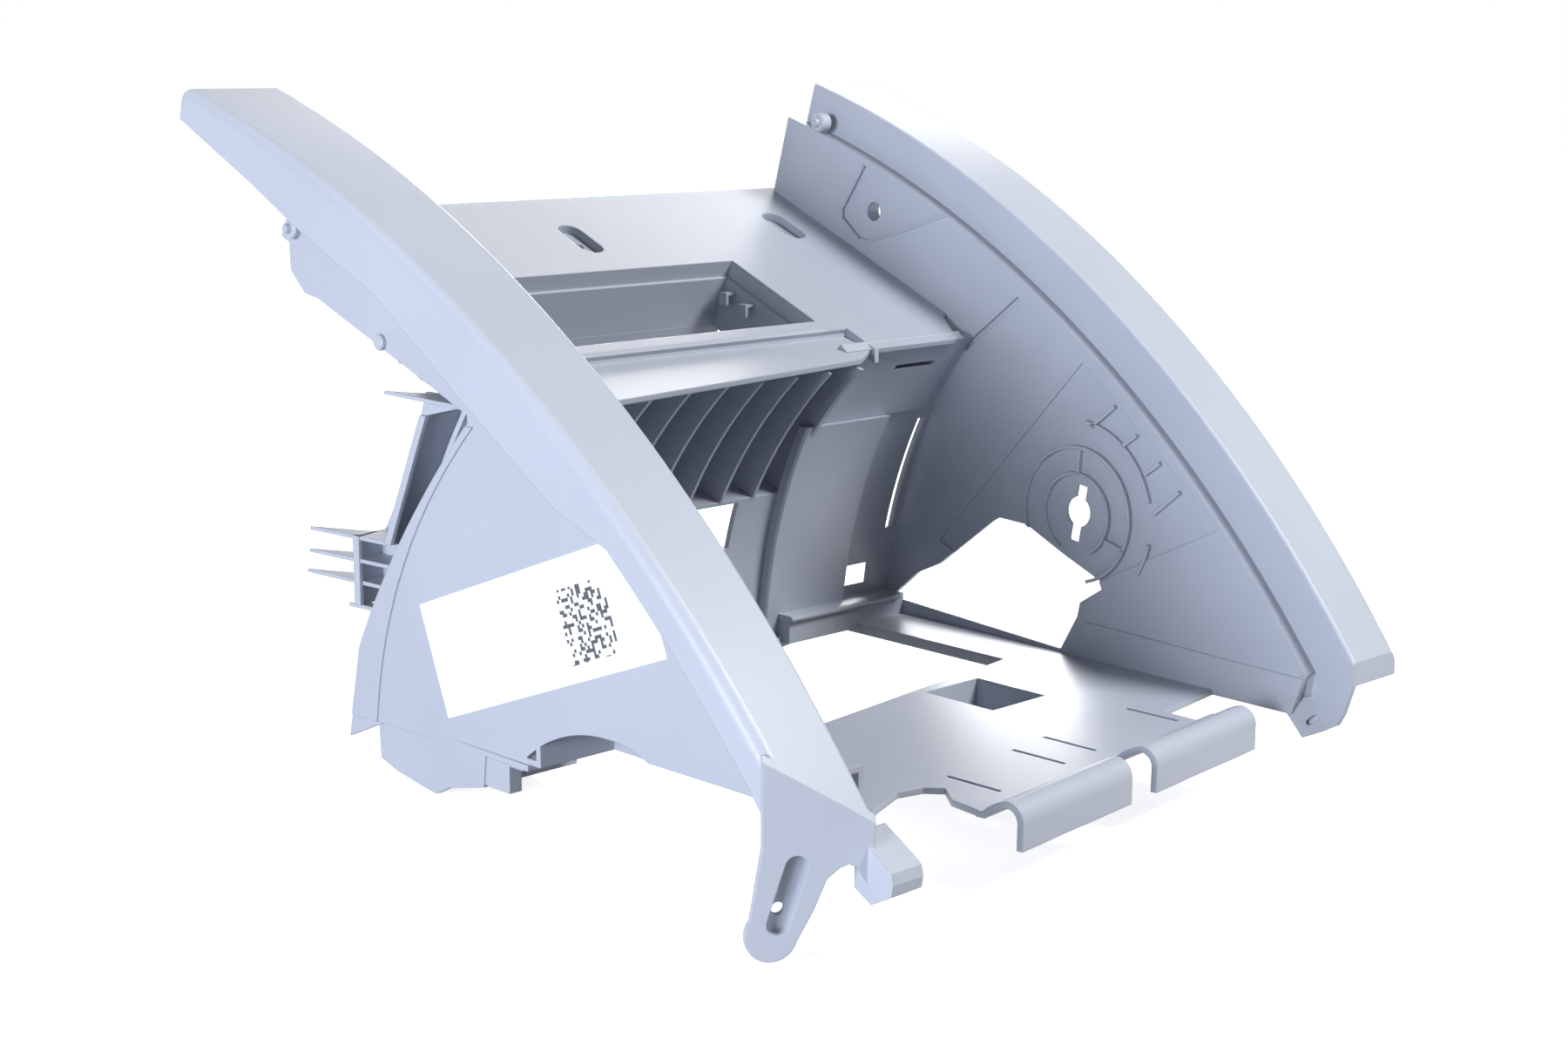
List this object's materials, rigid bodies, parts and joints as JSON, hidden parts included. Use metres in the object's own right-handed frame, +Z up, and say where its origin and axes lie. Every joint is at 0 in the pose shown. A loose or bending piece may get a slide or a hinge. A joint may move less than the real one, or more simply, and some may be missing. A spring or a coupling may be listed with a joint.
{
  "type": "glove box frame",
  "caption": "Moulded frame of a car glove box without its lid: curved side bands, cheeks, top panel with a window, finned back wall and cut-out floor.",
  "frame": {"origin": "below the middle of the frame's box, at its lowest point, which is the lug's foot and the tray", "axes": "+X across the car to the part's right as seen from the seat, +Y to the rear of the glove box, away from the seat, +Z up"},
  "size_m": [0.3908, 0.3646, 0.2803],
  "materials": {
    "moulded_plastic": "satin",
    "label_paper": "matte"
  },
  "bodies": {
    "root": {"glove_box_frame": "moulded_plastic", "label": "label_paper"}
  },
  "joints": []
}
